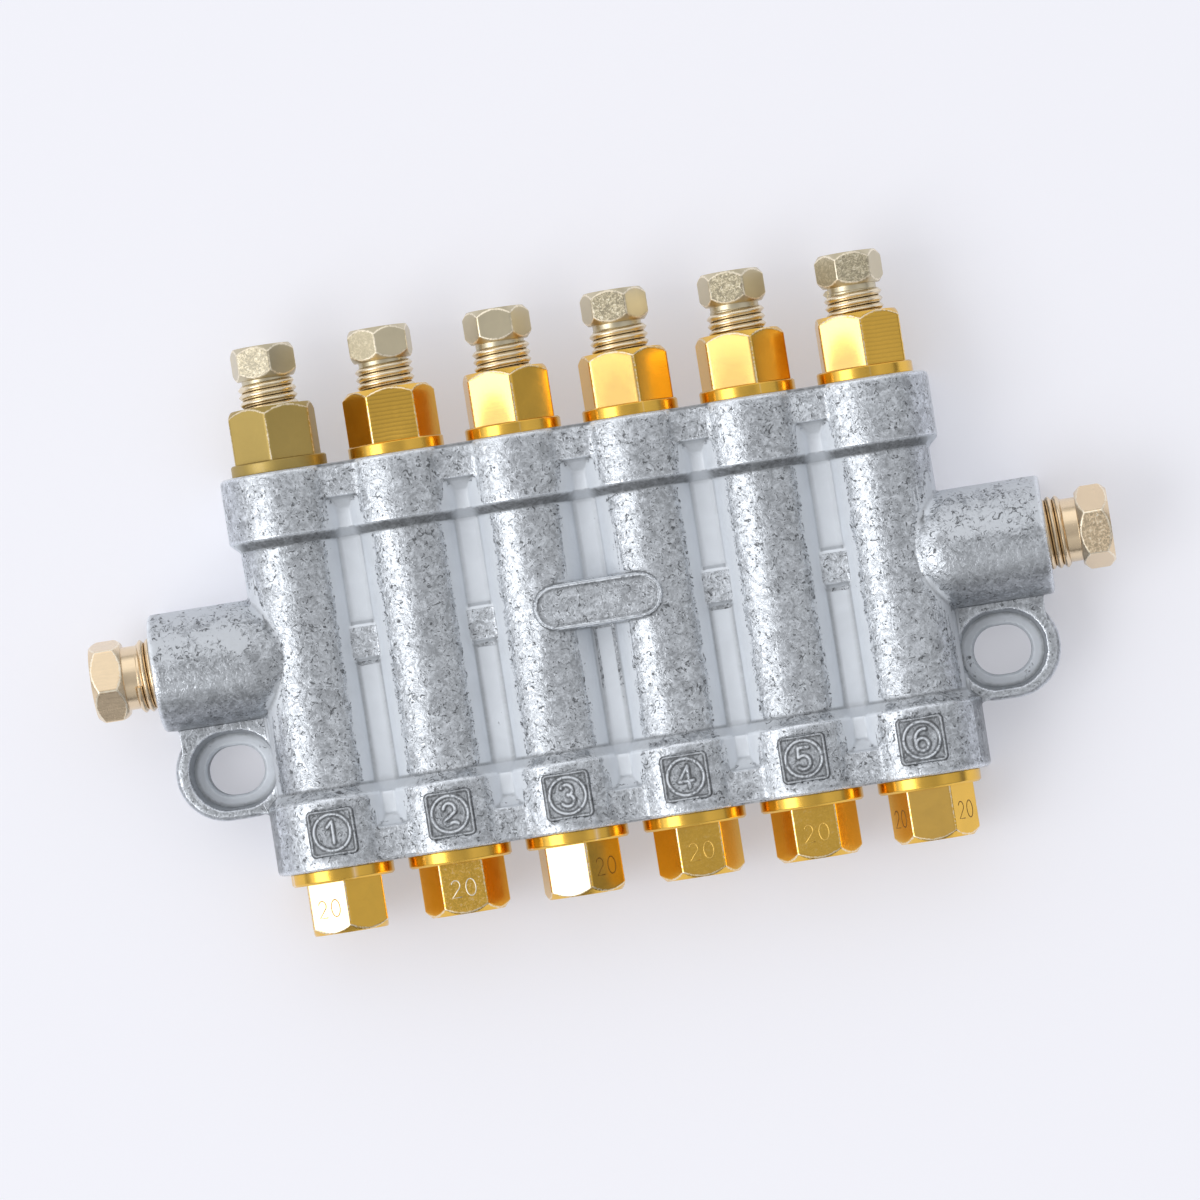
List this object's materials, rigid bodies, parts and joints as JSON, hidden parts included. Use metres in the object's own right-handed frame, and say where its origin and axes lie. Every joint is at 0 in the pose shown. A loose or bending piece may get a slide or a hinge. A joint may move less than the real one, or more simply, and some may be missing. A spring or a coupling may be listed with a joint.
{
  "type": "lubrication distributor",
  "caption": "Single-line lubrication distributor: die-cast body with a row of piston metering stations, brass outlet fittings, dose nipples, end inlets and two slotted ears.",
  "frame": {"origin": "on the back, midway between the two mounting slots", "axes": "+X along the row of stations, +Y towards the outlets, +Z off the back towards the numbered side"},
  "size_m": [0.1388, 0.0799, 0.0176],
  "materials": {
    "zinc_casting": "die-cast zinc alloy, tumbled: speckled crests, smooth pale recesses",
    "yellow_brass": "bright yellow brass, polished",
    "pale_brass": "pale nickel-tinted brass, turned and tumbled",
    "rose_brass": "pale rosy brass, turned",
    "steel": "ground steel",
    "spring_steel": "drawn spring steel",
    "seal_rubber": "black nitrile rubber"
  },
  "bodies": {
    "distributor_body": {"casting": "zinc_casting", "outlet_fitting_1": "yellow_brass", "outlet_seal_1": "seal_rubber", "metering_nipple_1": "yellow_brass", "nipple_seal_1": "seal_rubber", "piston_spring_1": "spring_steel", "outlet_fitting_2": "yellow_brass", "outlet_seal_2": "seal_rubber", "metering_nipple_2": "yellow_brass", "nipple_seal_2": "seal_rubber", "piston_spring_2": "spring_steel", "outlet_fitting_3": "yellow_brass", "outlet_seal_3": "seal_rubber", "metering_nipple_3": "yellow_brass", "nipple_seal_3": "seal_rubber", "piston_spring_3": "spring_steel", "outlet_fitting_4": "yellow_brass", "outlet_seal_4": "seal_rubber", "metering_nipple_4": "yellow_brass", "nipple_seal_4": "seal_rubber", "piston_spring_4": "spring_steel", "outlet_fitting_5": "yellow_brass", "outlet_seal_5": "seal_rubber", "metering_nipple_5": "yellow_brass", "nipple_seal_5": "seal_rubber", "piston_spring_5": "spring_steel", "outlet_fitting_6": "yellow_brass", "outlet_seal_6": "seal_rubber", "metering_nipple_6": "yellow_brass", "nipple_seal_6": "seal_rubber", "piston_spring_6": "spring_steel"},
    "piston_1": {"metering_piston_1": "steel"},
    "valve_1": {"valve_collar_1": "seal_rubber"},
    "outlet_ferrule_body_1": {"outlet_ferrule_1": "pale_brass"},
    "outlet_screw_1": {"outlet_union_1": "pale_brass"},
    "piston_2": {"metering_piston_2": "steel"},
    "valve_2": {"valve_collar_2": "seal_rubber"},
    "outlet_ferrule_body_2": {"outlet_ferrule_2": "pale_brass"},
    "outlet_screw_2": {"outlet_union_2": "pale_brass"},
    "piston_3": {"metering_piston_3": "steel"},
    "valve_3": {"valve_collar_3": "seal_rubber"},
    "outlet_ferrule_body_3": {"outlet_ferrule_3": "pale_brass"},
    "outlet_screw_3": {"outlet_union_3": "pale_brass"},
    "piston_4": {"metering_piston_4": "steel"},
    "valve_4": {"valve_collar_4": "seal_rubber"},
    "outlet_ferrule_body_4": {"outlet_ferrule_4": "pale_brass"},
    "outlet_screw_4": {"outlet_union_4": "pale_brass"},
    "piston_5": {"metering_piston_5": "steel"},
    "valve_5": {"valve_collar_5": "seal_rubber"},
    "outlet_ferrule_body_5": {"outlet_ferrule_5": "pale_brass"},
    "outlet_screw_5": {"outlet_union_5": "pale_brass"},
    "piston_6": {"metering_piston_6": "steel"},
    "valve_6": {"valve_collar_6": "seal_rubber"},
    "outlet_ferrule_body_6": {"outlet_ferrule_6": "pale_brass"},
    "outlet_screw_6": {"outlet_union_6": "pale_brass"},
    "inlet_ferrule_body_left": {"inlet_ferrule_left": "rose_brass"},
    "inlet_screw_left": {"inlet_union_left": "rose_brass"},
    "inlet_ferrule_body_right": {"inlet_ferrule_right": "rose_brass"},
    "inlet_screw_right": {"inlet_union_right": "rose_brass"}
  },
  "joints": [
    {"name": "piston_stroke_1", "type": "slide", "parent": "distributor_body", "child": "piston_1", "axis": [0, -1, 0], "range_m": [0, 0.0052], "stiffness_N_per_m": 900, "springref_m": -0.004, "deforming": ["piston_spring_1"]},
    {"name": "valve_travel_1", "type": "slide", "parent": "distributor_body", "child": "valve_1", "axis": [0, -1, 0], "range_m": [0, 0.0012]},
    {"name": "outlet_screw_slide_1", "type": "slide", "parent": "distributor_body", "child": "outlet_ferrule_body_1", "axis": [0, 1, 0], "range_m": [0, 0.003]},
    {"name": "outlet_screw_turn_1", "type": "hinge", "parent": "outlet_ferrule_body_1", "child": "outlet_screw_1", "pos_m": [-0.04, 0.0477, 0.009], "axis": [0, 1, 0], "range_deg": [0, 1080]},
    {"name": "piston_stroke_2", "type": "slide", "parent": "distributor_body", "child": "piston_2", "axis": [0, -1, 0], "range_m": [0, 0.0052], "stiffness_N_per_m": 900, "springref_m": -0.004, "deforming": ["piston_spring_2"]},
    {"name": "valve_travel_2", "type": "slide", "parent": "distributor_body", "child": "valve_2", "axis": [0, -1, 0], "range_m": [0, 0.0012]},
    {"name": "outlet_screw_slide_2", "type": "slide", "parent": "distributor_body", "child": "outlet_ferrule_body_2", "axis": [0, 1, 0], "range_m": [0, 0.003]},
    {"name": "outlet_screw_turn_2", "type": "hinge", "parent": "outlet_ferrule_body_2", "child": "outlet_screw_2", "pos_m": [-0.024, 0.0477, 0.009], "axis": [0, 1, 0], "range_deg": [0, 1080]},
    {"name": "piston_stroke_3", "type": "slide", "parent": "distributor_body", "child": "piston_3", "axis": [0, -1, 0], "range_m": [0, 0.0052], "stiffness_N_per_m": 900, "springref_m": -0.004, "deforming": ["piston_spring_3"]},
    {"name": "valve_travel_3", "type": "slide", "parent": "distributor_body", "child": "valve_3", "axis": [0, -1, 0], "range_m": [0, 0.0012]},
    {"name": "outlet_screw_slide_3", "type": "slide", "parent": "distributor_body", "child": "outlet_ferrule_body_3", "axis": [0, 1, 0], "range_m": [0, 0.003]},
    {"name": "outlet_screw_turn_3", "type": "hinge", "parent": "outlet_ferrule_body_3", "child": "outlet_screw_3", "pos_m": [-0.008, 0.0477, 0.009], "axis": [0, 1, 0], "range_deg": [0, 1080]},
    {"name": "piston_stroke_4", "type": "slide", "parent": "distributor_body", "child": "piston_4", "axis": [0, -1, 0], "range_m": [0, 0.0052], "stiffness_N_per_m": 900, "springref_m": -0.004, "deforming": ["piston_spring_4"]},
    {"name": "valve_travel_4", "type": "slide", "parent": "distributor_body", "child": "valve_4", "axis": [0, -1, 0], "range_m": [0, 0.0012]},
    {"name": "outlet_screw_slide_4", "type": "slide", "parent": "distributor_body", "child": "outlet_ferrule_body_4", "axis": [0, 1, 0], "range_m": [0, 0.003]},
    {"name": "outlet_screw_turn_4", "type": "hinge", "parent": "outlet_ferrule_body_4", "child": "outlet_screw_4", "pos_m": [0.008, 0.0477, 0.009], "axis": [0, 1, 0], "range_deg": [0, 1080]},
    {"name": "piston_stroke_5", "type": "slide", "parent": "distributor_body", "child": "piston_5", "axis": [0, -1, 0], "range_m": [0, 0.0052], "stiffness_N_per_m": 900, "springref_m": -0.004, "deforming": ["piston_spring_5"]},
    {"name": "valve_travel_5", "type": "slide", "parent": "distributor_body", "child": "valve_5", "axis": [0, -1, 0], "range_m": [0, 0.0012]},
    {"name": "outlet_screw_slide_5", "type": "slide", "parent": "distributor_body", "child": "outlet_ferrule_body_5", "axis": [0, 1, 0], "range_m": [0, 0.003]},
    {"name": "outlet_screw_turn_5", "type": "hinge", "parent": "outlet_ferrule_body_5", "child": "outlet_screw_5", "pos_m": [0.024, 0.0477, 0.009], "axis": [0, 1, 0], "range_deg": [0, 1080]},
    {"name": "piston_stroke_6", "type": "slide", "parent": "distributor_body", "child": "piston_6", "axis": [0, -1, 0], "range_m": [0, 0.0052], "stiffness_N_per_m": 900, "springref_m": -0.004, "deforming": ["piston_spring_6"]},
    {"name": "valve_travel_6", "type": "slide", "parent": "distributor_body", "child": "valve_6", "axis": [0, -1, 0], "range_m": [0, 0.0012]},
    {"name": "outlet_screw_slide_6", "type": "slide", "parent": "distributor_body", "child": "outlet_ferrule_body_6", "axis": [0, 1, 0], "range_m": [0, 0.003]},
    {"name": "outlet_screw_turn_6", "type": "hinge", "parent": "outlet_ferrule_body_6", "child": "outlet_screw_6", "pos_m": [0.04, 0.0477, 0.009], "axis": [0, 1, 0], "range_deg": [0, 1080]},
    {"name": "inlet_screw_slide_left", "type": "slide", "parent": "distributor_body", "child": "inlet_ferrule_body_left", "axis": [-1, 0, 0], "range_m": [0, 0.003]},
    {"name": "inlet_screw_turn_left", "type": "hinge", "parent": "inlet_ferrule_body_left", "child": "inlet_screw_left", "pos_m": [-0.0608, 0.01445, 0.009], "axis": [-1, 0, 0], "range_deg": [0, 1080]},
    {"name": "inlet_screw_slide_right", "type": "slide", "parent": "distributor_body", "child": "inlet_ferrule_body_right", "axis": [1, 0, 0], "range_m": [0, 0.003]},
    {"name": "inlet_screw_turn_right", "type": "hinge", "parent": "inlet_ferrule_body_right", "child": "inlet_screw_right", "pos_m": [0.0608, 0.01445, 0.009], "axis": [1, 0, 0], "range_deg": [0, 1080]}
  ],
  "couplings": [
    {"joint": "outlet_screw_turn_1", "follows": "outlet_screw_slide_1", "rad_per_m": 6283.2},
    {"joint": "outlet_screw_turn_2", "follows": "outlet_screw_slide_2", "rad_per_m": 6283.2},
    {"joint": "outlet_screw_turn_3", "follows": "outlet_screw_slide_3", "rad_per_m": 6283.2},
    {"joint": "outlet_screw_turn_4", "follows": "outlet_screw_slide_4", "rad_per_m": 6283.2},
    {"joint": "outlet_screw_turn_5", "follows": "outlet_screw_slide_5", "rad_per_m": 6283.2},
    {"joint": "outlet_screw_turn_6", "follows": "outlet_screw_slide_6", "rad_per_m": 6283.2},
    {"joint": "inlet_screw_turn_left", "follows": "inlet_screw_slide_left", "rad_per_m": 6283.2},
    {"joint": "inlet_screw_turn_right", "follows": "inlet_screw_slide_right", "rad_per_m": 6283.2}
  ]
}
